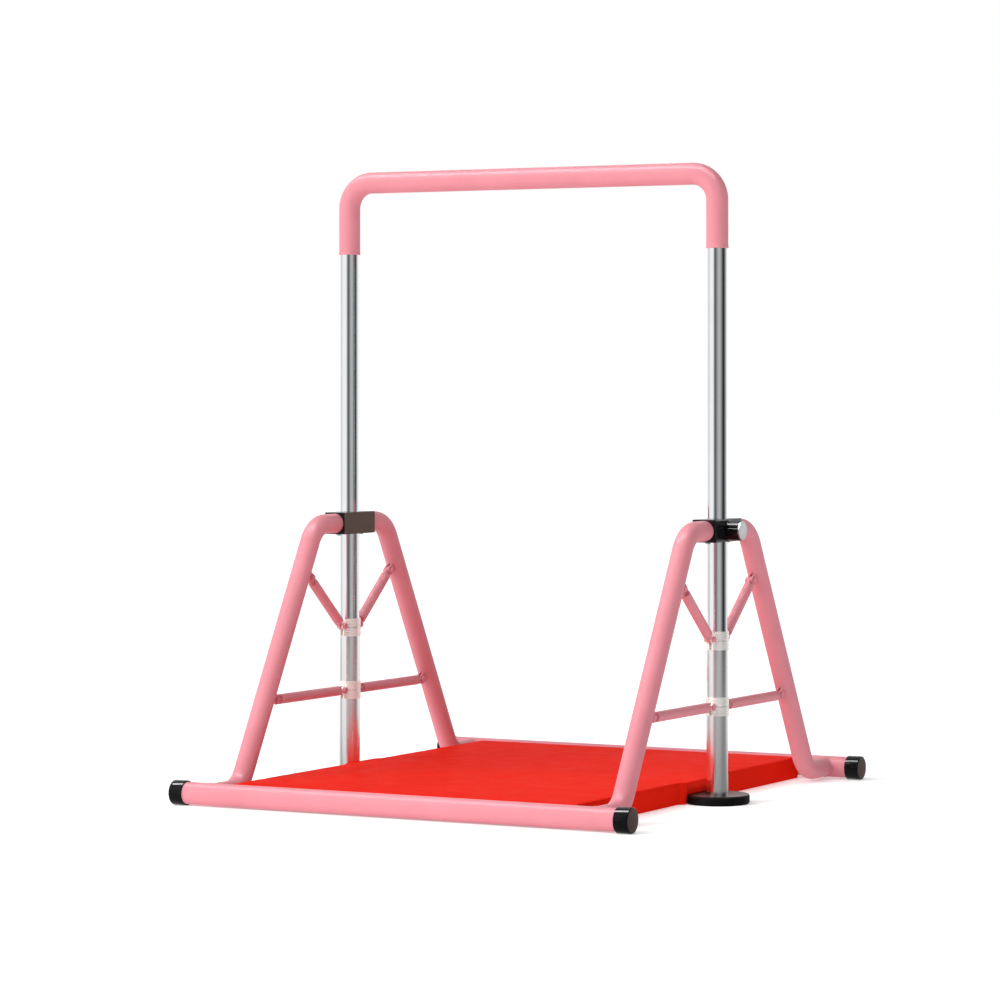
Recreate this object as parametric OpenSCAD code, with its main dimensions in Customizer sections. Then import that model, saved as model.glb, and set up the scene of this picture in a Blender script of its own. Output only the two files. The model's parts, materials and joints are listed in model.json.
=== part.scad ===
// Kip bar on a double A-frame stand, with its landing mat.
// +X runs along the bar, -Y is the front, +Z is up. The origin is on the floor, midway between
// the two uprights, so the rear half is the front half turned half a turn about Z.

/* [Bar] */
// Height of the bar's centre line at the modelled setting
bar_h = 1166; // [1145:1:1230]
// Distance between the centre lines of the two uprights
span = 792; // [700:1:1000]
// Outer diameter of the pink bar tube
bar_d = 41; // [40.8:0.1:44]
// Radius of the bar's two corner bends, on the centre line
bar_bend = 50; // [45:1:70]
// Height of the bar tube's two open lower ends
bar_end_h = 1027; // [980:1:1040]

/* [Uprights and posts] */
// Outer diameter of the sliding chrome uprights
upright_d = 38; // [36:0.1:39]
// Wall thickness of the uprights
upright_wall = 1.5; // [1.2:0.1:2.5]
// How far each upright is pushed up into the bar tube
upright_plug_in = 64; // [40:1:80]
// Height of the lower end of each upright
upright_low = 134; // [125:1:160]
// Outer diameter of the fixed outer posts
post_d = 40.4; // [40.2:0.1:41]
// Height of the top of the outer posts
post_top = 320; // [320:1:330]
// Running clearance of the uprights in the posts and guides, on the radius
slide_gap = 0.05; // [0.03:0.01:0.1]

/* [Stand] */
// Outer diameter of the four bent legs
leg_d = 38; // [36:0.5:38.5]
// Outer diameter of the two ground tubes
ground_d = 41; // [38:0.5:42]
// Distance of each ground tube from the uprights
ground_y = 501; // [480:1:560]
// Length of each ground tube, without its caps' end walls
ground_l = 942; // [930:1:1000]
// Wall thickness of legs and ground tubes
stand_wall = 1.5; // [1.2:0.1:2.5]
// Distance from the uprights at which a leg's slope meets hub height
leg_top_y = 130; // [120:1:150]
// Distance from the uprights at which a leg's slope meets ground tube height
leg_foot_y = 401; // [380:1:420]
// Radius of the leg bends, on the centre line
leg_bend = 60; // [50:1:70]
// Diameter of the ground tubes' end caps, which stand on the floor
cap_d = 46; // [45:0.5:50]

/* [Hub and clamp] */
// Height of the hubs' centre
hub_h = 505; // [480:1:540]
// Length of each hub from front to rear
hub_l = 112; // [100:1:130]
// Height of each hub block
hub_t = 42; // [41:0.5:48]
// Diameter of the clamp knobs
knob_d = 37; // [30:0.5:40]

/* [Struts and collars] */
// Outer diameter of the struts
strut_d = 19; // [18:0.5:24]
// Height of the upper collars' middle
upper_collar_h = 301; // [290:1:301]
// Height of the lower collars' middle
lower_collar_h = 179.5; // [165:0.5:190]
// Slope of the upper struts in degrees above the level
upper_strut_tilt = 39.7; // [36:0.1:44]
// Height of one collar band
band_h = 16.5; // [14:0.5:17]

/* [Feet] */
// Diameter of the round feet under the posts
foot_d = 120; // [90:1:130]
// Thickness of the rubber foot pads
pad_t = 14; // [8:0.5:14]
// Thickness of the steel foot plates
foot_plate_t = 3; // [2:0.5:4]

/* [Mat] */
// Width of the mat along the bar
mat_w = 714; // [640:1:716]
// How far the mat lies off centre towards the right
mat_shift = -8; // [-9:1:9]
// Thickness of the mat
mat_t = 42; // [30:1:45]
// Gap between the mat and each ground tube
mat_gap = 2.5; // [1:0.5:20]

/* [Hidden] */
$fn = 64;
eps = 0.01;

pink = "#f096a5";
chrome = "#cfd2d6";
silver = "#e2e4e6";
black = "#151517";
bronze = "#5f5348";
red = "#e63223";

half = span / 2;
ground_h = cap_d / 2;
slide_bore = upright_d + 2 * slide_gap;
upright_bore = upright_d - 2 * upright_wall;
foot_top = pad_t + foot_plate_t;

// Leg path: level at the hub, down the slope, level again at the ground tube
leg_rise = hub_h - ground_h;
leg_angle = atan(leg_rise / (leg_foot_y - leg_top_y));
bend_tangent = leg_bend * tan(leg_angle / 2);
slope_l = leg_rise / sin(leg_angle) - 2 * bend_tangent;
socket_depth = 30;

// Hub block, measured outward from the upright's axis
hub_out = 24;
hub_in = 22;
hub_cover_t = 2;
hub_bevel = 2.5;
boss_d = 18;
boss_l = 4;
bush_d = 41;
screw_y = 42;

// Clamp parts, measured outward from the upright's axis
pad_in = upright_d / 2 + 0.1;
clamp_pad_l = 3;
stud_d = 10;
knob_in = hub_out + 1;
knob_cap_in = 49.5;
knob_out = 52.5;
knob_grip_r = 3.2;

// Strut pins, from the upright's axis and from the collar's middle
pin_y = 30;
upper_pin_dz = 4;
bolt_d = 6;
tongue_t = 5;
clevis_gap = 5.2;
plate_t = 2.8;
pin_to_leg = 32;
tongue_l = 15;
upper_pin_h = upper_collar_h + upper_pin_dz;

// Distance from the upright's axis to a leg's centre line at height z, on the slope
function leg_y(z) = leg_foot_y - (z - ground_h) / tan(leg_angle);

// Where a strut that leaves the collar pin at height z and tilt t meets its leg bracket
function strut_l(z, t) =
    (leg_y(z) - pin_to_leg / sin(leg_angle) - pin_y) / (cos(t) + sin(t) / tan(leg_angle));
upper_strut_l = strut_l(upper_pin_h, upper_strut_tilt);
lower_strut_l = strut_l(lower_collar_h, 0);

// Pins as [distance from the upright's axis, height]
upper_leg_pin = [pin_y + upper_strut_l * cos(upper_strut_tilt),
                 upper_pin_h + upper_strut_l * sin(upper_strut_tilt)];
lower_leg_pin = [pin_y + lower_strut_l, lower_collar_h];
pins = [[pin_y, upper_pin_h], upper_leg_pin, [pin_y, lower_collar_h], lower_leg_pin];

// Turns the rear right corner's shapes to another corner: side is 1 right, -1 left,
// and way is 1 rear, -1 front
module corner(side, way) {
    translate([side * half, 0, 0]) rotate([0, 0, way > 0 ? 0 : 180]) children();
}

// Stands a shape drawn in the XY plane up in the YZ plane, so X becomes Y and Y becomes Z
module stand_up() {
    rotate([90, 0, 90]) children();
}

// A round bar of diameter d and length l along +X
module rod_x(d, l) {
    rotate([0, 90, 0]) cylinder(d = d, h = l);
}

// A bent length of round stock in the XY plane, from start angle, around the origin
module bend(d, radius, start, angle) {
    rotate([0, 0, start]) rotate_extrude(angle = angle) translate([radius, 0]) circle(d = d);
}

// ---------- Bar and uprights ----------

module bar_path(d, extra) {
    run = span - 2 * bar_bend;
    drop = bar_h - bar_bend - bar_end_h + extra;
    translate([-run / 2, bar_h, 0]) rod_x(d, run);
    for (side = [-1, 1]) {
        translate([side * run / 2, bar_h - bar_bend, 0])
            bend(d, bar_bend, side > 0 ? 0 : 90, 90);
        translate([side * half, bar_h - bar_bend, 0]) rotate([90, 0, 0]) cylinder(d = d, h = drop);
    }
}

module bar_tube() {
    color(pink) difference() {
        rotate([90, 0, 0]) bar_path(bar_d, 0);
        rotate([90, 0, 0]) bar_path(slide_bore, 1);
        for (side = [-1, 1]) joint_screw(side, 5.2, 30, 0);
    }
}

// Cross screw through the back of a bar end and its upright
module joint_screw(side, d, l, head) {
    translate([side * half, bar_d / 2 - 6, bar_end_h + 30]) rotate([-90, 0, 0]) {
        cylinder(d = d, h = l);
        if (head > 0) translate([0, 0, 6]) cylinder(d = 10, h = head);
    }
}

module bar_joint_screws() {
    color(silver) for (side = [-1, 1]) joint_screw(side, 5, 6 + eps, 2.4);
}

module upright(side) {
    top = bar_end_h + upright_plug_in;
    color(chrome) difference() {
        translate([side * half, 0, upright_low]) cylinder(d = upright_d, h = top - upright_low);
        translate([side * half, 0, upright_low - 1])
            cylinder(d = upright_bore, h = top - upright_low + 2);
        joint_screw(side, 5.2, 30, 0);
    }
}

// Nylon plug that closes an upright's lower end and keeps it from rattling in the post
module upright_plug(side) {
    color(black) translate([side * half, 0, upright_low]) {
        translate([0, 0, -4]) cylinder(d = upright_d - 0.1, h = 4);
        cylinder(d = upright_bore - 0.1, h = 22);
    }
}

// ---------- Posts and feet ----------

module post(side) {
    color(silver) translate([side * half, 0, foot_top]) difference() {
        cylinder(d = post_d, h = post_top - foot_top);
        translate([0, 0, -1]) cylinder(d = slide_bore, h = post_top);
    }
}

module foot_plate(side) {
    color(silver) translate([side * half, 0, pad_t]) cylinder(d = foot_d - 2, h = foot_plate_t);
}

module foot_pad(side) {
    color(black) translate([side * half, 0, 0]) rotate_extrude()
        polygon([[0, 0], [foot_d / 2 - 2, 0], [foot_d / 2, 3], [foot_d / 2, pad_t], [0, pad_t]]);
}

// ---------- Hubs ----------

// Outline of the hub block across half width w, with its two outer corners bevelled
module hub_outline(w) {
    polygon([
        [-hub_in, -w], [hub_out - hub_bevel, -w], [hub_out, hub_bevel - w],
        [hub_out, w - hub_bevel], [hub_out - hub_bevel, w], [-hub_in, w]
    ]);
}

// Bevelled block, with +X outward from the upright
module hub_block() {
    intersection() {
        translate([0, 0, -hub_t / 2]) linear_extrude(hub_t) hub_outline(hub_l / 2);
        translate([0, hub_l / 2 + 1, 0]) rotate([90, 0, 0]) linear_extrude(hub_l + 2)
            hub_outline(hub_t / 2);
    }
}

module hub_screw_at(way, d, l, drop) {
    translate([0, way * screw_y, -hub_t / 2 - drop]) cylinder(d = d, h = l);
}

// Places a shape at a hub, with +X outward on either side
module at_hub(side) {
    translate([side * half, 0, hub_h]) rotate([0, 0, side > 0 ? 0 : 180]) children();
}

module hub(side) {
    color(black) at_hub(side) difference() {
        union() {
            hub_block();
            translate([hub_out - 1, 0, 0]) rod_x(boss_d, boss_l + 1);
        }
        translate([0, 0, -hub_t]) cylinder(d = bush_d, h = 2 * hub_t);
        translate([10, 0, 0]) rod_x(stud_d + 0.1, 30);
        for (way = [-1, 1]) {
            translate([0, way * (hub_l / 2 + 1), 0]) rotate([way * 90, 0, 0])
                cylinder(d = leg_d + 0.1, h = socket_depth + 1);
            hub_screw_at(way, 6.2, 12, 1);
        }
    }
}

module hub_cover(side) {
    color(bronze) at_hub(side) translate([-hub_in - hub_cover_t, -hub_l / 2, -hub_t / 2])
        cube([hub_cover_t, hub_l, hub_t]);
}

module guide_bush(side) {
    color(silver) at_hub(side) difference() {
        translate([0, 0, -hub_t / 2]) cylinder(d = bush_d - 0.05, h = hub_t);
        translate([0, 0, -hub_t]) cylinder(d = slide_bore, h = 2 * hub_t);
        rod_x(stud_d + 0.2, 30);
    }
}

module hub_leg_screws() {
    color(silver) for (side = [-1, 1], way = [-1, 1]) at_hub(side) {
        hub_screw_at(way, 6, 14, 0);
        hub_screw_at(way, 10.5, 3, 3);
    }
}

// ---------- Clamps ----------

module clamp_knob(side) {
    color(black) at_hub(side) difference() {
        translate([knob_in, 0, 0]) rod_x(knob_d, knob_cap_in - knob_in);
        translate([knob_in - 1, 0, 0]) rod_x(boss_d + 2, boss_l + 4);
        translate([knob_in, 0, 0]) rod_x(stud_d + 0.05, 19);
        for (i = [0:9]) rotate([i * 36, 0, 0]) translate([knob_in + 3, 0, knob_d / 2 + 1.9])
            rod_x(2 * knob_grip_r, 40);
    }
}

module knob_cap(side) {
    color(silver) at_hub(side) translate([knob_cap_in, 0, 0])
        rod_x(knob_d - 2, knob_out - knob_cap_in);
}

module clamp_stud(side) {
    color(chrome) at_hub(side) translate([pad_in + clamp_pad_l, 0, 0])
        rod_x(stud_d, knob_in + 18 - pad_in - clamp_pad_l);
}

module clamp_pad(side) {
    color(black) at_hub(side) translate([pad_in, 0, 0]) rod_x(stud_d - 1, clamp_pad_l);
}

// ---------- Stand ----------

// Half of a leg from the middle of its slope: half the slope, the bend and a level end.
// +X runs along the slope and the bend turns towards +Y. A faint ring marks the bend's end.
module leg_half(d, end_l) {
    ring_l = 1;
    rod_x(d, slope_l / 2);
    translate([slope_l / 2, leg_bend, 0]) {
        bend(d, leg_bend, -90, leg_angle);
        rotate([0, 0, leg_angle]) translate([0, -leg_bend, 0]) {
            translate([0.1, 0, 0]) rod_x(d, end_l - 0.1);
            translate([-ring_l / 2, 0, 0]) rod_x(d + 0.06, ring_l);
        }
    }
}

// The leg's centre line swept with diameter d; extra lengthens both ends
module leg_path(d, extra) {
    foot_l = ground_y - leg_foot_y - bend_tangent;
    hub_end_l = leg_top_y - bend_tangent - hub_l / 2 + socket_depth;
    translate([(leg_top_y + leg_foot_y) / 2, (hub_h + ground_h) / 2, 0]) rotate([0, 0, -leg_angle]) {
        leg_half(d, foot_l + extra);
        rotate([0, 0, 180]) leg_half(d, hub_end_l + extra);
    }
}

module leg(side, way) {
    color(pink) corner(side, way) difference() {
        stand_up() leg_path(leg_d, 0);
        stand_up() leg_path(leg_d - 2 * stand_wall, 1);
        translate([-50, ground_y, ground_h]) rod_x(ground_d, 100);
        translate([0, screw_y, hub_h - 30]) cylinder(d = 6.2, h = 20);
    }
}

// Two cheeks that hold a strut's tongue at a leg, in the XY plane with the leg's slope,
// the pin at the origin and the leg towards +X
module leg_clevis() {
    difference() {
        for (s = [-1, 1]) translate([0, 0, s * (clevis_gap + plate_t) / 2 - plate_t / 2])
            difference() {
                union() {
                    cylinder(d = 18, h = plate_t);
                    translate([0, -9, 0]) cube([pin_to_leg, 18, plate_t]);
                }
                translate([0, 0, -1]) cylinder(d = bolt_d + 0.3, h = plate_t + 2);
            }
        translate([pin_to_leg, 40, 0]) rotate([90, 0, 0]) cylinder(d = leg_d, h = 80);
    }
}

module brackets(side, way) {
    color(pink) corner(side, way) stand_up() for (pin = [upper_leg_pin, lower_leg_pin])
        translate([pin[0], pin[1], 0]) rotate([0, 0, 90 - leg_angle]) leg_clevis();
}

module ground_tube(way) {
    color(pink) translate([-ground_l / 2, way * ground_y, ground_h]) difference() {
        rod_x(ground_d, ground_l);
        translate([-1, 0, 0]) rod_x(ground_d - 2 * stand_wall, ground_l + 2);
    }
}

// Push-on cap with a slightly crowned end
module ground_cap(side, way) {
    r = cap_d / 2;
    bore_r = ground_d / 2 + 0.05;
    grip_l = 27;
    color(black) translate([side * (ground_l / 2 - grip_l), way * ground_y, ground_h])
        rotate([0, side * 90, 0]) rotate_extrude() polygon([
            [bore_r, 0], [r - 0.6, 0], [r, 0.8], [r, grip_l - 1], [r - 0.8, grip_l + 0.8],
            [r - 3, grip_l + 2], [r * 0.6, grip_l + 2.8], [0, grip_l + 3.2], [0, grip_l],
            [bore_r, grip_l]
        ]);
}

// ---------- Struts and collars ----------

// Strut in the XY plane, from pin to pin along +X
module strut_blank(l) {
    difference() {
        union() {
            translate([tongue_l, 0, 0]) rod_x(strut_d, l - 2 * tongue_l);
            translate([0, -8, -tongue_t / 2]) cube([l, 16, tongue_t]);
            for (x = [0, l]) translate([x, 0, -tongue_t / 2]) cylinder(d = 16, h = tongue_t);
        }
        for (x = [0, l]) translate([x, 0, -tongue_t]) cylinder(d = bolt_d + 0.3, h = 2 * tongue_t);
    }
}

module upper_strut(side, way) {
    color(pink) corner(side, way) stand_up() translate([pin_y, upper_pin_h, 0])
        rotate([0, 0, upper_strut_tilt]) strut_blank(upper_strut_l);
}

module lower_strut(side, way) {
    color(pink) corner(side, way) stand_up() translate([pin_y, lower_collar_h, 0])
        strut_blank(lower_strut_l);
}

// One band of a collar with its pair of ears towards +Y; up is 1 for the upper band
module collar_band(up, pin_dz) {
    low = up > 0 ? 0.6 : -0.6 - band_h;
    band_r = post_d / 2 + 1.4;
    difference() {
        union() {
            translate([0, 0, low]) cylinder(r = band_r, h = band_h);
            for (s = [-1, 1]) translate([s * (clevis_gap + plate_t) / 2 - plate_t / 2, 0, 0]) {
                translate([0, 10, low + 1]) cube([plate_t, pin_y - 10, band_h - 2]);
                translate([0, band_r + 0.6, pin_dz - 7]) cube([plate_t, pin_y - band_r - 0.6, 14]);
                translate([0, pin_y, pin_dz]) rotate([0, 90, 0]) cylinder(d = 15, h = plate_t);
            }
        }
        translate([0, 0, low - 1]) cylinder(d = post_d + 0.1, h = band_h + 2);
        translate([-20, pin_y, pin_dz]) rod_x(bolt_d + 0.3, 40);
    }
}

module collar(side, z, pin_dz) {
    color(silver) translate([side * half, 0, z]) {
        collar_band(1, pin_dz);
        rotate([0, 0, 180]) collar_band(-1, pin_dz);
    }
}

// Calls its children at the four strut pins of one side's rear or front half
module at_pins() {
    for (pin = pins) translate([0, pin[0], pin[1]]) children();
}

module strut_bolts(side) {
    cheek = clevis_gap / 2 + plate_t;
    color(silver) for (way = [-1, 1]) translate([side * half, 0, 0]) mirror([0, way < 0 ? 1 : 0, 0])
        at_pins() rotate([0, side * 90, 0]) translate([0, 0, -cheek - 6]) {
            cylinder(d = bolt_d, h = 2 * cheek + 6);
            translate([0, 0, 2 * cheek + 6]) cylinder(d = 11, h = 3.5);
        }
}

module strut_nuts(side) {
    cheek = clevis_gap / 2 + plate_t;
    color(silver) for (way = [-1, 1]) translate([side * half, 0, 0]) mirror([0, way < 0 ? 1 : 0, 0])
        at_pins() rotate([0, side * 90, 0]) translate([0, 0, -cheek - 5]) difference() {
            cylinder(d = 11.5, h = 5, $fn = 6);
            translate([0, 0, -1]) cylinder(d = bolt_d + 0.05, h = 7);
        }
}

// ---------- Mat ----------

// Rounded slab that stays inset by the amount given all round
module mat_slab(inset) {
    r = 10;
    w = mat_w / 2 - inset;
    l = ground_y - ground_d / 2 - mat_gap - inset;
    translate([mat_shift, 0, inset]) linear_extrude(mat_t - 2 * inset) {
        square([2 * w, 2 * (l - r)], center = true);
        square([2 * (w - r), 2 * l], center = true);
        for (x = [-1, 1], y = [-1, 1]) translate([x * (w - r), y * (l - r)]) circle(r = r);
    }
}

// Room for the round feet, which the mat's underside laps over
module foot_hollows(grow) {
    for (side = [-1, 1]) translate([side * half, 0, -1])
        cylinder(r = foot_d / 2 + 1 + grow, h = foot_top + 2 + grow);
}

module mat_cover() {
    color(red) difference() {
        mat_slab(0);
        foot_hollows(0);
        difference() {
            mat_slab(1.5);
            foot_hollows(1.5);
        }
    }
}

module mat_foam() {
    color("#f4e9c8") difference() {
        mat_slab(1.6);
        foot_hollows(1.6);
    }
}

bar_tube();
bar_joint_screws();
upright(-1);  // left_upright
upright(1);  // right_upright
upright_plug(-1);  // left_upright_plug
upright_plug(1);  // right_upright_plug
post(-1);  // left_post
post(1);  // right_post
foot_plate(-1);  // left_foot_plate
foot_plate(1);  // right_foot_plate
foot_pad(-1);  // left_foot_pad
foot_pad(1);  // right_foot_pad
hub(-1);  // left_hub
hub(1);  // right_hub
hub_cover(-1);  // left_hub_cover
hub_cover(1);  // right_hub_cover
guide_bush(-1);  // left_guide_bush
guide_bush(1);  // right_guide_bush
hub_leg_screws();
clamp_knob(-1);  // left_clamp_knob
clamp_knob(1);  // right_clamp_knob
knob_cap(-1);  // left_knob_cap
knob_cap(1);  // right_knob_cap
clamp_stud(-1);  // left_clamp_stud
clamp_stud(1);  // right_clamp_stud
clamp_pad(-1);  // left_clamp_pad
clamp_pad(1);  // right_clamp_pad
leg(-1, -1);  // front_left_leg
leg(1, -1);  // front_right_leg
leg(-1, 1);  // rear_left_leg
leg(1, 1);  // rear_right_leg
brackets(-1, -1);  // front_left_brackets
brackets(1, -1);  // front_right_brackets
brackets(-1, 1);  // rear_left_brackets
brackets(1, 1);  // rear_right_brackets
ground_tube(-1);  // front_ground_tube
ground_tube(1);  // rear_ground_tube
ground_cap(-1, -1);  // front_left_cap
ground_cap(1, -1);  // front_right_cap
ground_cap(-1, 1);  // rear_left_cap
ground_cap(1, 1);  // rear_right_cap
upper_strut(-1, -1);  // front_left_upper_strut
upper_strut(1, -1);  // front_right_upper_strut
upper_strut(-1, 1);  // rear_left_upper_strut
upper_strut(1, 1);  // rear_right_upper_strut
lower_strut(-1, -1);  // front_left_lower_strut
lower_strut(1, -1);  // front_right_lower_strut
lower_strut(-1, 1);  // rear_left_lower_strut
lower_strut(1, 1);  // rear_right_lower_strut
collar(-1, upper_collar_h, upper_pin_dz);  // left_upper_collar
collar(1, upper_collar_h, upper_pin_dz);  // right_upper_collar
collar(-1, lower_collar_h, 0);  // left_lower_collar
collar(1, lower_collar_h, 0);  // right_lower_collar
strut_bolts(-1);  // left_strut_bolts
strut_bolts(1);  // right_strut_bolts
strut_nuts(-1);  // left_strut_nuts
strut_nuts(1);  // right_strut_nuts
mat_cover();
mat_foam();
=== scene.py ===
"""Looks for a kip bar on a double A-frame stand, with its red landing mat, around the CAD frame."""
import json
import math

import bpy
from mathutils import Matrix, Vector, noise


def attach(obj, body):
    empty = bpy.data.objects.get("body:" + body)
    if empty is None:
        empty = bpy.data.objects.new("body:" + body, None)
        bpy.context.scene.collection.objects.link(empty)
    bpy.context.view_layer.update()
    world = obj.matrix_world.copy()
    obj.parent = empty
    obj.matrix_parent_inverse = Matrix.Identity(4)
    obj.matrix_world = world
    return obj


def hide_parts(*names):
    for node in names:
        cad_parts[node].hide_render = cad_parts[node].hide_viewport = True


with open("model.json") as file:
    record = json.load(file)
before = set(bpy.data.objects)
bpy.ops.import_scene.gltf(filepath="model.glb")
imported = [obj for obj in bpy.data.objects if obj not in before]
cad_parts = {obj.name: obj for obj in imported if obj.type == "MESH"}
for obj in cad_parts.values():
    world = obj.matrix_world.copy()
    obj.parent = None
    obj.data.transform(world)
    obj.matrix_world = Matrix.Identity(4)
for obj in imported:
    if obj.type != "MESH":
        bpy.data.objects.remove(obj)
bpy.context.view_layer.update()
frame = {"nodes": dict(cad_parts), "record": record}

MM = 0.001
HALF_SPAN = 0.396
GROUND_Y, GROUND_H, GROUND_R = 0.501, 0.023, 0.0205
LEG_R = 0.019
PINK = (0.665, 0.24, 0.279)
SIDES = {"left": -1, "right": 1}
WAYS = {"front": -1, "rear": 1}


# ---------- Shader helpers ----------

def material(name, base, roughness, metallic=0.0, coat=0.0, coat_roughness=0.1,
             specular=0.5):
    """A Principled material with its constants on its own sockets, and object coordinates to build on."""
    mat = bpy.data.materials.new(name)
    mat.use_nodes = True
    tree = mat.node_tree
    shader = tree.nodes["Principled BSDF"]
    shader.inputs["Base Color"].default_value = (*base, 1)
    shader.inputs["Roughness"].default_value = roughness
    shader.inputs["Metallic"].default_value = metallic
    shader.inputs["Coat Weight"].default_value = coat
    shader.inputs["Coat Roughness"].default_value = coat_roughness
    shader.inputs["Specular IOR Level"].default_value = specular
    coords = tree.nodes.new("ShaderNodeTexCoord").outputs["Object"]
    return mat, tree, shader, coords


def stretched(tree, coords, scale):
    """Object coordinates multiplied by a scale along each axis."""
    mapping = tree.nodes.new("ShaderNodeMapping")
    mapping.inputs["Scale"].default_value = scale
    tree.links.new(coords, mapping.inputs["Vector"])
    return mapping.outputs["Vector"]


def noise_of(tree, coords, scale, detail=3.0, rough=0.55):
    tex = tree.nodes.new("ShaderNodeTexNoise")
    tex.inputs["Scale"].default_value = scale
    tex.inputs["Detail"].default_value = detail
    tex.inputs["Roughness"].default_value = rough
    tree.links.new(coords, tex.inputs["Vector"])
    return tex.outputs["Fac"]


def ranged(tree, value, low, high, start=0.3, end=0.7):
    node = tree.nodes.new("ShaderNodeMapRange")
    node.inputs["From Min"].default_value = start
    node.inputs["From Max"].default_value = end
    node.inputs["To Min"].default_value = low
    node.inputs["To Max"].default_value = high
    tree.links.new(value, node.inputs["Value"])
    return node.outputs["Result"]


def ramp(tree, value, stops):
    """A colour ramp; stops are (position, colour)."""
    node = tree.nodes.new("ShaderNodeValToRGB")
    elements = node.color_ramp.elements
    while len(elements) < len(stops):
        elements.new(0.5)
    for element, (position, colour) in zip(elements, stops):
        element.position = position
        element.color = (*colour, 1)
    tree.links.new(value, node.inputs["Fac"])
    return node.outputs["Color"]


def bump(tree, shader, height, strength, distance, chain=None):
    node = tree.nodes.new("ShaderNodeBump")
    node.inputs["Strength"].default_value = strength
    node.inputs["Distance"].default_value = distance
    tree.links.new(height, node.inputs["Height"])
    if chain:
        tree.links.new(chain, node.inputs["Normal"])
    tree.links.new(node.outputs["Normal"], shader.inputs["Normal"])
    return node.outputs["Normal"]


def shade_of(colour, k):
    return tuple(min(1.0, c * k) for c in colour)


# ---------- Materials ----------

def powder_coat(name, colour, roughness, coat):
    """Sprayed paint: faint cloudiness in the colour, uneven gloss and an orange-peel surface."""
    mat, tree, shader, coords = material(name, colour, roughness, coat=coat, coat_roughness=0.22,
                                         specular=0.07)
    cloud = noise_of(tree, coords, 9, 4)
    tree.links.new(ramp(tree, cloud, [(0.3, shade_of(colour, 0.95)), (0.7, shade_of(colour, 1.04))]),
                   shader.inputs["Base Color"])
    tree.links.new(ranged(tree, noise_of(tree, coords, 40), roughness - 0.05, roughness + 0.06),
                   shader.inputs["Roughness"])
    peel = noise_of(tree, coords, 420, 2)
    bump(tree, shader, peel, 0.12, 0.0006)
    return mat


def bright_metal(name, colour, roughness, grain, streak=(900, 900, 9), metallic=1.0):
    """Polished or plated metal: drawn streaks along the part, faint smears and a slight tint change."""
    mat, tree, shader, coords = material(name, colour, roughness, metallic=metallic)
    streaks = noise_of(tree, stretched(tree, coords, streak), 1, 3)
    smears = noise_of(tree, coords, 14, 5, 0.6)
    tree.links.new(ramp(tree, smears, [(0.35, shade_of(colour, 0.96)), (0.65, colour)]),
                   shader.inputs["Base Color"])
    mix = tree.nodes.new("ShaderNodeMath")
    mix.operation = "MULTIPLY"
    tree.links.new(ranged(tree, smears, 0.75, 1.3), mix.inputs[0])
    tree.links.new(ranged(tree, streaks, roughness * 0.7, roughness * 1.4), mix.inputs[1])
    tree.links.new(mix.outputs["Value"], shader.inputs["Roughness"])
    bump(tree, shader, streaks, grain, 0.0002)
    return mat


def moulded(name, colour, roughness, texture, scale, coat=0.0, specular=0.3):
    """Moulded plastic or rubber: stippled skin, with gloss that varies and dust in random patches."""
    mat, tree, shader, coords = material(name, colour, roughness, coat=coat, coat_roughness=0.06,
                                         specular=specular)
    patches = noise_of(tree, coords, 30, 4)
    dusty = tuple(c * 1.5 + 0.003 for c in colour)
    tree.links.new(ramp(tree, patches, [(0.35, colour), (0.75, dusty)]), shader.inputs["Base Color"])
    tree.links.new(ranged(tree, patches, roughness * 0.8, roughness * 1.25), shader.inputs["Roughness"])
    bump(tree, shader, noise_of(tree, coords, scale, 2), texture, 0.0004)
    return mat


def vinyl(name, colour):
    """Coated mat fabric: fine pebbled grain over a soft unevenness, deeper colour in its clouding."""
    mat, tree, shader, coords = material(name, colour, 0.5, specular=0.004)
    cloud = noise_of(tree, coords, 5, 5, 0.5)
    tree.links.new(ramp(tree, cloud, [(0.3, shade_of(colour, 0.97)), (0.7, shade_of(colour, 1.03))]),
                   shader.inputs["Base Color"])
    tree.links.new(ranged(tree, noise_of(tree, coords, 22, 4), 0.48, 0.62), shader.inputs["Roughness"])
    soft = bump(tree, shader, noise_of(tree, coords, 12, 2), 0.12, 0.002)
    cells = tree.nodes.new("ShaderNodeTexVoronoi")
    cells.inputs["Scale"].default_value = 700
    tree.links.new(coords, cells.inputs["Vector"])
    bump(tree, shader, cells.outputs["Distance"], 0.16, 0.0004, chain=soft)
    return mat


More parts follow.
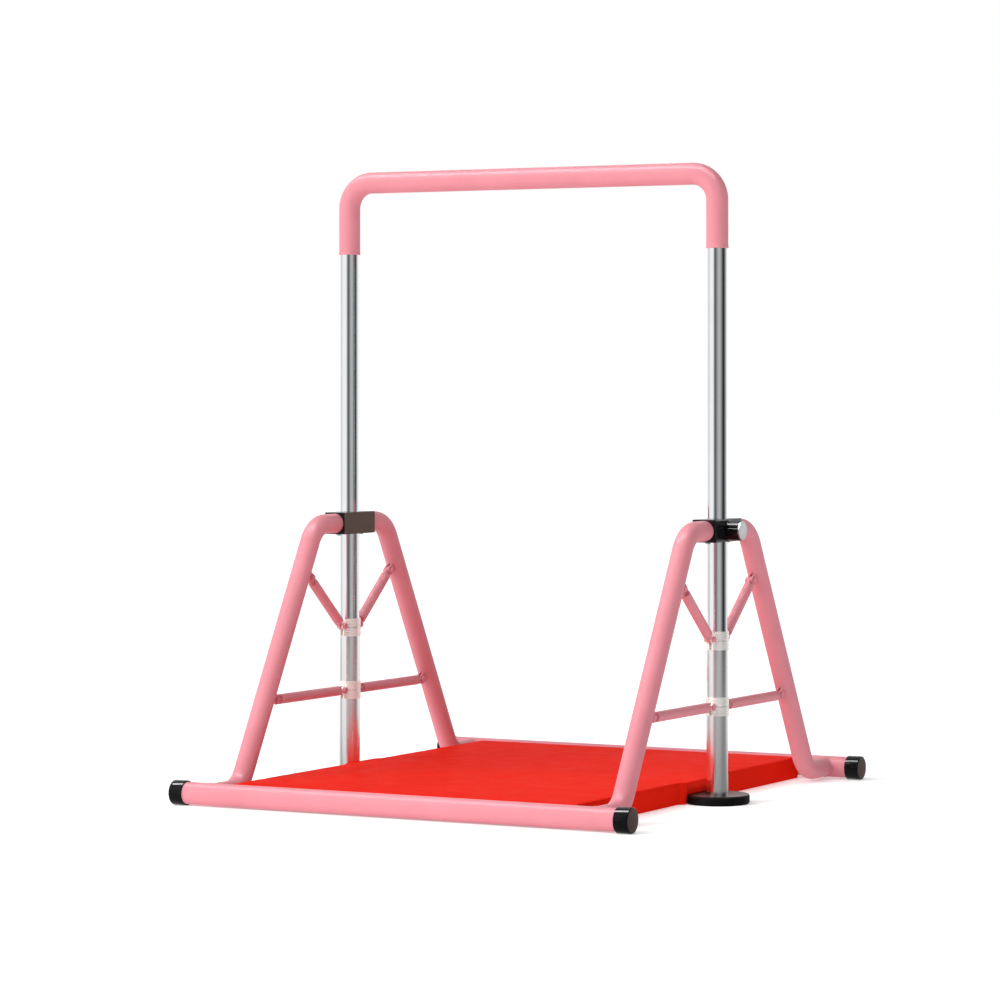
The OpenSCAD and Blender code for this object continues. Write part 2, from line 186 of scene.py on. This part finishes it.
def make_materials():
    return {
        "bar_paint": powder_coat("bar_paint_look", PINK, 0.4, 0.01),
        "stand_paint": powder_coat("stand_paint_look", PINK, 0.4, 0.01),
        "plated_steel": bright_metal("plated_steel_look", (0.72, 0.73, 0.75), 0.25, 0.05),
        "chrome_tube": bright_metal("chrome_tube_look", (0.86, 0.88, 0.9), 0.07, 0.02),
        "post_tube": bright_metal("post_tube_look", (0.9, 0.9, 0.9), 0.16, 0.03),
        "foot_steel": powder_coat("foot_steel_look", (0.02, 0.017, 0.016), 0.3, 0.2),
        "foot_rubber": moulded("foot_rubber_look", (0.003, 0.0025, 0.0025), 0.5, 0.3, 900, specular=0.1),
        "hub_black": powder_coat("hub_black_look", (0.006, 0.006, 0.007), 0.2, 0.3),
        "hub_bronze": powder_coat("hub_bronze_look", (0.085, 0.062, 0.045), 0.42, 0.05),
        "nylon": moulded("nylon_look", (0.03, 0.03, 0.033), 0.45, 0.1, 500),
        "black_gloss": moulded("black_gloss_look", (0.002, 0.002, 0.003), 0.07, 0.03, 300, specular=0.14),
        "cap_face": moulded("cap_face_look", (0.055, 0.034, 0.027), 0.6, 0.35, 700),
        "knob_steel": bright_metal("knob_steel_look", (0.55, 0.56, 0.57), 0.3, 0.1, (500, 40, 40)),
        "collar_metal": bright_metal("collar_metal_look", (0.93, 0.92, 0.88), 0.3, 0.05,
                                     (60, 60, 500), metallic=0.45),
        "mat_vinyl": vinyl("mat_vinyl_look", (0.75, 0.015, 0.005)),
        "mat_foam": moulded("mat_foam_look", (0.85, 0.78, 0.6), 0.9, 0.6, 1200),
    }


# ---------- Mesh helpers ----------

def mesh_object(name, verts, faces, mat, body, slot, smooth_angle=40):
    """A closed mesh from points and faces, in the row frame, that rides on a body."""
    mesh = bpy.data.meshes.new(name)
    mesh.from_pydata([tuple(v) for v in verts], [], faces)
    mesh.validate()
    mesh.update()
    obj = bpy.data.objects.new(name, mesh)
    bpy.context.scene.collection.objects.link(obj)
    obj.data.materials.append(mat)
    smooth(obj, smooth_angle)
    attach(obj, body)
    return obj


def smooth(obj, degrees):
    """Smooth shading that keeps edges sharper than the angle."""
    mesh = obj.data
    mesh.shade_smooth()
    mesh.set_sharp_from_angle(angle=math.radians(degrees))


def swept_loop(points, radius, sides):
    """A round bead of varying radius along a closed path; returns points and faces."""
    verts, faces, count = [], [], len(points)
    for i, point in enumerate(points):
        ahead, behind = points[(i + 1) % count], points[i - 1]
        along = (ahead - behind).normalized()
        across = along.cross(Vector((0, 0, 1)))
        if across.length < 0.2:
            across = along.cross(Vector((0, 1, 0)))
        across.normalize()
        up = across.cross(along)
        for k in range(sides):
            a = 2 * math.pi * k / sides
            verts.append(point + (across * math.cos(a) + up * math.sin(a)) * radius(i))
    for i in range(count):
        for k in range(sides):
            j, n = (i + 1) % count, (k + 1) % sides
            faces.append((i * sides + k, i * sides + n, j * sides + n, j * sides + k))
    return verts, faces


def lathed(profile, segments):
    """A solid of revolution about +X from (radius, x) pairs whose ends lie on the axis or meet."""
    verts, faces, rings = [], [], []
    for r, x in profile:
        if r < 1e-9:
            rings.append([len(verts)])
            verts.append(Vector((x, 0, 0)))
            continue
        rings.append(list(range(len(verts), len(verts) + segments)))
        for k in range(segments):
            a = 2 * math.pi * k / segments
            verts.append(Vector((x, r * math.cos(a), r * math.sin(a))))
    closed = rings[0] if profile[0][0] > 1e-9 and profile[-1][0] > 1e-9 else None
    pairs = list(zip(rings, rings[1:])) + ([(rings[-1], closed)] if closed else [])
    for a, b in pairs:
        for k in range(segments):
            n = (k + 1) % segments
            if len(a) == 1:
                faces.append((a[0], b[n], b[k]))
            elif len(b) == 1:
                faces.append((a[k], a[n], b[0]))
            else:
                faces.append((a[k], a[n], b[n], b[k]))
    return verts, faces


# ---------- Mat ----------

MAT = {"w": 357 * MM, "l": 478 * MM, "shift": -8 * MM, "t": 42 * MM, "corner": 10 * MM, "edge": 5 * MM}


def mat_lap(y):
    """How far the mat's long edges stand out where they lap over the round feet."""
    reach, run, out = 66 * MM, 12 * MM, 9 * MM
    k = max(0.0, min(1.0, (reach - abs(y)) / run))
    return out * k * k * (3 - 2 * k)


def mat_outline(u, v, inset):
    """A point of the mat's plan for u and v from -1 to 1, with the outline drawn in by inset."""
    w, l, r = MAT["w"] - inset, MAT["l"] - inset, MAT["corner"] - inset
    x, y = u * w, v * l
    a, b = (abs(x) - (w - r)) / r, (abs(y) - (l - r)) / r
    if a > 0 and b > 0:
        x = math.copysign(w - r + r * a * math.sqrt(1 - b * b / 2), x)
        y = math.copysign(l - r + r * b * math.sqrt(1 - a * a / 2), y)
    near_edge = max(0.0, 1 - (w - abs(x)) / (60 * MM))
    return x + math.copysign(mat_lap(y) * near_edge ** 2, x), y


def mat_top(x, y):
    """Height of the mat's top: a soft crown, slow unevenness and small puckers at the seam."""
    from_edge = max(0.0, min(MAT["w"] - abs(x), MAT["l"] - abs(y)))
    crown = 2.2 * MM * (1 - math.exp(-from_edge / 0.03))
    slow = 0.7 * MM * noise.noise(Vector((x * 5, y * 5, 0.3))) * min(1, from_edge / 0.06)
    pucker = 0.45 * MM * noise.noise(Vector((x * 45, y * 45, 2.1))) * math.exp(-from_edge / 0.018)
    return MAT["t"] - 1.0 * MM + crown + slow + pucker


def mat_bottom(x, y):
    """Height of the underside: flat on the floor, raised over the two round feet."""
    hollow, reach, wall = 17.6 * MM, 61.5 * MM, 4 * MM
    near = min(math.hypot(x + MAT["shift"] - s * HALF_SPAN, y) for s in (-1, 1))
    k = max(0.0, min(1.0, (reach + wall - near) / wall))
    return hollow * k * k * (3 - 2 * k)


def grid_lines(half, fine_to=0.0):
    """Coordinates from -half to half, close together at the ends and, if asked, in the middle."""
    side, x = [], half
    for step in (2, 3, 4, 6, 8):
        side.append(x)
        x -= step * MM
    while x > 4 * MM:
        side.append(x)
        x -= (4 if x < fine_to else 9) * MM
    return [-s for s in side] + [0.0] + side[::-1]


def make_mat(mats):
    e = MAT["edge"]
    xs, ys = grid_lines(MAT["w"] - e), grid_lines(MAT["l"] - e, 0.072)
    nx, ny = len(xs), len(ys)
    us, vs = [x / (MAT["w"] - e) for x in xs], [y / (MAT["l"] - e) for y in ys]
    loop = ([(i, 0) for i in range(nx)] + [(nx - 1, j) for j in range(1, ny)]
            + [(i, ny - 1) for i in range(nx - 2, -1, -1)] + [(0, j) for j in range(ny - 2, 0, -1)])
    verts, faces = [], []

    def sheet(height):
        first = len(verts)
        for v in vs:
            for u in us:
                x, y = mat_outline(u, v, e)
                verts.append(Vector((x + MAT["shift"], y, height(x, y))))
        return first

    def ring(inset, height):
        first = len(verts)
        for i, j in loop:
            x, y = mat_outline(us[i], vs[j], inset)
            verts.append(Vector((x + MAT["shift"], y, height(x, y))))
        return list(range(first, first + len(loop)))

    top, bottom = sheet(mat_top), sheet(mat_bottom)
    for first, up in ((top, True), (bottom, False)):
        for j in range(ny - 1):
            for i in range(nx - 1):
                a = first + j * nx + i
                quad = (a, a + 1, a + nx + 1, a + nx)
                faces.append(quad if up else quad[::-1])
    rings = [[top + j * nx + i for i, j in loop]]
    arc = [math.radians(a) for a in (25, 50, 75)]
    for a in arc:
        rings.append(ring(e * (1 - math.sin(a)),
                          lambda x, y, a=a: mat_top(x, y) - e * (1 - math.cos(a))))
    for f in (1.0, 0.86, 0.7, 0.5, 0.3, 0.14, 0.0):
        bulge = 1.1 * MM * math.sin(math.pi * f)
        rings.append(ring(-bulge, lambda x, y, f=f: mat_bottom(x, y) + e
                          + f * (mat_top(x, y) - mat_bottom(x, y) - 2 * e)))
    for a in arc[::-1]:
        rings.append(ring(e * (1 - math.sin(a)),
                          lambda x, y, a=a: mat_bottom(x, y) + e * (1 - math.cos(a))))
    rings.append([bottom + j * nx + i for i, j in loop])
    for upper, lower in zip(rings, rings[1:]):
        for k in range(len(loop)):
            n = (k + 1) % len(loop)
            faces.append((upper[k], lower[k], lower[n], upper[n]))
    pad = mesh_object("mat_pad", verts, faces, mats["mat_vinyl"], "mat", "mat_vinyl", 60)
    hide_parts("mat_cover", "mat_foam")

    bead, inset, below_top, above_bottom = 1.3 * MM, 1.7 * MM, 1.6 * MM, 1.7 * MM
    for name, height in (("mat_piping_top", lambda x, y: mat_top(x, y) - below_top),
                         ("mat_piping_bottom", lambda x, y: mat_bottom(x, y) + above_bottom)):
        path = []
        for i, j in loop:
            x, y = mat_outline(us[i], vs[j], inset)
            path.append(Vector((x + MAT["shift"], y, height(x, y))))
        mesh_object(name, *swept_loop(path, lambda i: bead, 8), mats["mat_vinyl"], "mat",
                    "mat_vinyl")


# ---------- Hard trim ----------

def make_caps(mats):
    """Push-on caps of the ground tubes, with a glossy band and a crowned, matt end face."""
    tube_end, engaged, face_from = 0.471, 0.027, 27.8 * MM
    profile = [(20.6, 0.0), (22.5, 0.0), (22.9, 0.2), (23.0, 0.7), (23.0, 25.6), (22.8, 26.6),
               (22.2, 27.4), (21.4, 27.9), (20.8, 27.9), (20.4, 28.1), (16.0, 29.1), (9.0, 29.9),
               (0.0, 30.2)]
    inner = [(0.0, 27.0), (20.6, 27.0), (20.6, 0.0)]
    start = tube_end - engaged
    for way_name, way in WAYS.items():
        for side_name, side in SIDES.items():
            verts, faces = lathed([(r * MM, x * MM) for r, x in inner[:2] + profile], 96)
            placed = [Vector((side * (start + v.x), way * GROUND_Y + v.y, GROUND_H + v.z))
                      for v in verts]
            if side < 0:
                faces = [f[::-1] for f in faces]
            cap = mesh_object(f"{way_name}_{side_name}_cap_shell", placed, faces, mats["black_gloss"],
                              "stand", "black_gloss", 35)
            cap.data.materials.append(mats["cap_face"])
            for face in cap.data.polygons:
                if abs(face.center.x) > start + face_from:
                    face.material_index = 1
            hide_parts(f"{way_name}_{side_name}_cap")


def make_welds(mats):
    """Painted-over weld beads where the legs meet the ground tubes."""
    steps, bead_r, ripple = 96, 1.7, 0.25
    for way_name, way in WAYS.items():
        for side_name, side in SIDES.items():
            path = []
            for k in range(steps):
                a = 2 * math.pi * k / steps
                rise = LEG_R * math.sin(a)
                out = GROUND_Y - math.sqrt(GROUND_R ** 2 - rise ** 2)
                path.append(Vector((side * HALF_SPAN + LEG_R * math.cos(a), way * out, GROUND_H + rise)))
            bead = swept_loop(path, lambda i: (bead_r + ripple * math.sin(i * math.pi / 2)) * MM, 10)
            mesh_object(f"{way_name}_{side_name}_weld", *bead, mats["stand_paint"], "stand",
                        "stand_paint")


def make_bar_lips(mats):
    """The slightly rolled lower ends of the bar tube."""
    profile = [(20.3, 0.0), (20.8, 0.0), (21.0, 0.4), (21.0, 3.4), (20.8, 3.9), (20.3, 4.2)]
    lip_h = 1.027
    for side_name, side in SIDES.items():
        verts, faces = lathed([(r * MM, x * MM) for r, x in profile], 96)
        placed = [Vector((side * HALF_SPAN + v.y, v.z, lip_h + v.x)) for v in verts]
        mesh_object(f"{side_name}_bar_lip", placed, faces, mats["bar_paint"], "bar", "bar_paint", 50)


def dress_nodes(mats):
    """Gives every CAD node the look of its material slot."""
    slots = {s["node"]: s["material_slot"] for s in frame["record"]["subparts"]}
    for name, obj in frame["nodes"].items():
        obj.data.materials.clear()
        obj.data.materials.append(mats[slots[name]])
        smooth(obj, 30)


# ---------- Studio ----------

PHOTO_TURN = math.radians(28.579)
PHOTO_EYE = (3.3649, -6.2907, 0.78275)
PHOTO_LENS, PHOTO_SENSOR, PHOTO_SHIFT = 135.08, 36, -0.1199
FLOOR_GLOW, GLINT_GLOW = 0.3, 34

# Brightness that reflections see around the studio, by degrees to the right of the camera
WALL_SHADE = [(-180, 1), (-125, 1), (-108, 0.62), (-92, 1), (-46, 1), (-31, 0.26), (-17, 0.1),
              (-4, 0.24), (8, 0.46), (30, 0.5), (44, 0.3), (58, 0.08), (68, 0.02), (80, 0.06),
              (100, 0.4), (116, 1)]
FLOOR_SHADE = [(-180, 0.9), (-125, 0.9), (-108, 0.4), (-92, 0.85), (-46, 0.9), (-31, 0.62), (-17, 0.5),
               (8, 0.5), (30, 0.42), (58, 0.28), (80, 0.3), (100, 0.6), (116, 0.9)]


def make_camera():
    camera = bpy.data.objects.new("camera", bpy.data.cameras.new("camera"))
    bpy.context.scene.collection.objects.link(camera)
    camera.location = PHOTO_EYE
    camera.rotation_euler = (math.radians(90), 0, PHOTO_TURN)
    camera.data.sensor_width = PHOTO_SENSOR
    camera.data.lens = PHOTO_LENS
    camera.data.shift_y = PHOTO_SHIFT
    bpy.context.scene.camera = camera


def make_floor():
    """A plain pale floor, which reflections see shaded by direction and a little darker near the object."""
    mesh = bpy.data.meshes.new("floor")
    size = 60
    mesh.from_pydata([(-size, -size, 0), (size, -size, 0), (size, size, 0), (-size, size, 0)], [],
                     [(0, 1, 2, 3)])
    floor = bpy.data.objects.new("floor", mesh)
    bpy.context.scene.collection.objects.link(floor)
    mat, tree, shader, coords = material("floor_look", (0.96, 0.96, 0.96), 0.8, specular=0.0)
    pale = [(0.3, (0.955,) * 3), (0.7, (0.965,) * 3)]
    tree.links.new(ramp(tree, noise_of(tree, coords, 0.8), pale), shader.inputs["Base Color"])
    shader.inputs["Emission Color"].default_value = (1, 1, 1, 1)
    shader.inputs["Emission Strength"].default_value = FLOOR_GLOW
    glow = tree.nodes.new("ShaderNodeEmission")
    tree.links.new(ramp(tree, around_camera(tree, coords), grey_stops(FLOOR_SHADE)), glow.inputs["Color"])
    away = tree.nodes.new("ShaderNodeVectorMath")
    away.operation = "LENGTH"
    tree.links.new(coords, away.inputs[0])
    tree.links.new(ranged(tree, away.outputs["Value"], 0.8, 1.0, 0.9, 1.9), glow.inputs["Strength"])
    mirrored = tree.nodes.new("ShaderNodeMixShader")
    path = tree.nodes.new("ShaderNodeLightPath")
    tree.links.new(path.outputs["Is Glossy Ray"], mirrored.inputs[0])
    tree.links.new(shader.outputs["BSDF"], mirrored.inputs[1])
    tree.links.new(glow.outputs["Emission"], mirrored.inputs[2])
    tree.links.new(mirrored.outputs["Shader"], tree.nodes["Material Output"].inputs["Surface"])
    mesh.materials.append(mat)


def around_camera(tree, coords):
    """Angle about the vertical, from 0 to 1, with 0.5 towards the camera and more to its right."""
    turn = tree.nodes.new("ShaderNodeMapping")
    turn.inputs["Rotation"].default_value = (0, 0, -PHOTO_TURN)
    tree.links.new(coords, turn.inputs["Vector"])
    split = tree.nodes.new("ShaderNodeSeparateXYZ")
    tree.links.new(turn.outputs["Vector"], split.inputs["Vector"])
    flip = tree.nodes.new("ShaderNodeMath")
    flip.operation = "MULTIPLY"
    flip.inputs[1].default_value = -1
    tree.links.new(split.outputs["Y"], flip.inputs[0])
    angle = tree.nodes.new("ShaderNodeMath")
    angle.operation = "ARCTAN2"
    tree.links.new(split.outputs["X"], angle.inputs[0])
    tree.links.new(flip.outputs["Value"], angle.inputs[1])
    return ranged(tree, angle.outputs["Value"], 0, 1, -math.pi, math.pi)


def grey_stops(stops):
    """Ramp stops from (degrees to the right of the camera, brightness)."""
    return [((degrees + 180) / 360, (k, k, k)) for degrees, k in stops]


def only_mirrored(obj):
    """Leaves an object visible to reflections alone."""
    obj.visible_camera = obj.visible_diffuse = obj.visible_shadow = False
    obj.visible_transmission = obj.visible_volume_scatter = False


def make_wall():
    """A studio wall that only reflections see; its shaded panels give the chrome its dark bands."""
    radius, height, steps = 3.6, 3.5, 96
    verts, faces = [], []
    for k in range(steps):
        a = 2 * math.pi * k / steps
        verts += [(radius * math.cos(a), radius * math.sin(a), z) for z in (0.002, height)]
        faces.append((2 * k, 2 * k + 1, (2 * k + 3) % (2 * steps), (2 * k + 2) % (2 * steps)))
    mesh = bpy.data.meshes.new("studio_wall")
    mesh.from_pydata(verts, [], faces)
    wall = bpy.data.objects.new("studio_wall", mesh)
    bpy.context.scene.collection.objects.link(wall)
    mat = bpy.data.materials.new("studio_wall_look")
    mat.use_nodes = True
    tree = mat.node_tree
    tree.nodes.clear()
    coords = tree.nodes.new("ShaderNodeTexCoord").outputs["Object"]
    glow = tree.nodes.new("ShaderNodeEmission")
    out = tree.nodes.new("ShaderNodeOutputMaterial")
    tree.links.new(ramp(tree, around_camera(tree, coords), grey_stops(WALL_SHADE)), glow.inputs["Color"])
    tree.links.new(glow.outputs["Emission"], out.inputs["Surface"])
    mesh.materials.append(mat)
    only_mirrored(wall)


def make_world():
    """Pale light from all round, brighter from the left; reflections and the backdrop are white."""
    world = bpy.data.worlds.new("studio")
    bpy.context.scene.world = world
    world.use_nodes = True
    tree = world.node_tree
    background = tree.nodes["Background"]
    coords = tree.nodes.new("ShaderNodeTexCoord").outputs["Generated"]
    stops = [(-180, 0.6), (-120, 0.95), (-60, 1.0), (0, 0.55), (60, 0.36), (120, 0.4), (180, 0.6)]
    sides = ramp(tree, around_camera(tree, coords), grey_stops(stops))
    path = tree.nodes.new("ShaderNodeLightPath")
    seen = tree.nodes.new("ShaderNodeMix")
    seen.data_type = "RGBA"
    tree.links.new(path.outputs["Is Diffuse Ray"], seen.inputs[0])
    seen.inputs[6].default_value = (1, 1, 1, 1)
    tree.links.new(sides, seen.inputs[7])
    tree.links.new(seen.outputs[2], background.inputs["Color"])


def add_light(name, kind, location, target, power):
    """A light at a location, aimed at a target; returns its object."""
    obj = bpy.data.objects.new(name, bpy.data.lights.new(name, kind))
    obj.data.energy = power
    bpy.context.scene.collection.objects.link(obj)
    obj.location = location
    obj.rotation_euler = (Vector(target) - Vector(location)).to_track_quat("-Z", "Y").to_euler()
    return obj


def make_lights():
    """A soft sun from the left front, a long light overhead and a low fill towards the left frame."""
    key = add_light("key", "SUN", (-5.2, -5.5, 4.6), (0, 0, 0), power=1.35)
    key.data.angle = math.radians(25)
    top = add_light("top", "AREA", (0, -0.3, 6), (0, -0.3, 0), power=30)
    top.data.shape = "RECTANGLE"
    top.data.size, top.data.size_y = 4.0, 1.0
    fill = add_light("fill", "AREA", (-0.1, -1.9, 1.0), (-0.4, 0, 0.4), power=9)
    fill.data.size = 1.0
    for light in (top, fill):
        light.visible_glossy = light.visible_camera = False


def make_glint_card():
    """A bright strip overhead that only reflections see, for the long highlights on glossy trim."""
    height, left, right, front, back = 3.1, -3.0, 1.6, -1.0, -0.1
    mesh = bpy.data.meshes.new("glint_card")
    mesh.from_pydata([(left, front, height), (left, back, height), (right, back, height),
                      (right, front, height)], [], [(0, 1, 2, 3)])
    card = bpy.data.objects.new("glint_card", mesh)
    bpy.context.scene.collection.objects.link(card)
    mat = bpy.data.materials.new("glint_card_look")
    mat.use_nodes = True
    shader = mat.node_tree.nodes["Principled BSDF"]
    shader.inputs["Emission Color"].default_value = (1, 1, 1, 1)
    shader.inputs["Emission Strength"].default_value = GLINT_GLOW
    mesh.materials.append(mat)
    only_mirrored(card)


mats = make_materials()
make_camera()
make_floor()
make_wall()
make_world()
make_lights()
make_glint_card()
dress_nodes(mats)
make_mat(mats)
make_caps(mats)
make_welds(mats)
make_bar_lips(mats)
bpy.context.scene.view_settings.view_transform = "Standard"
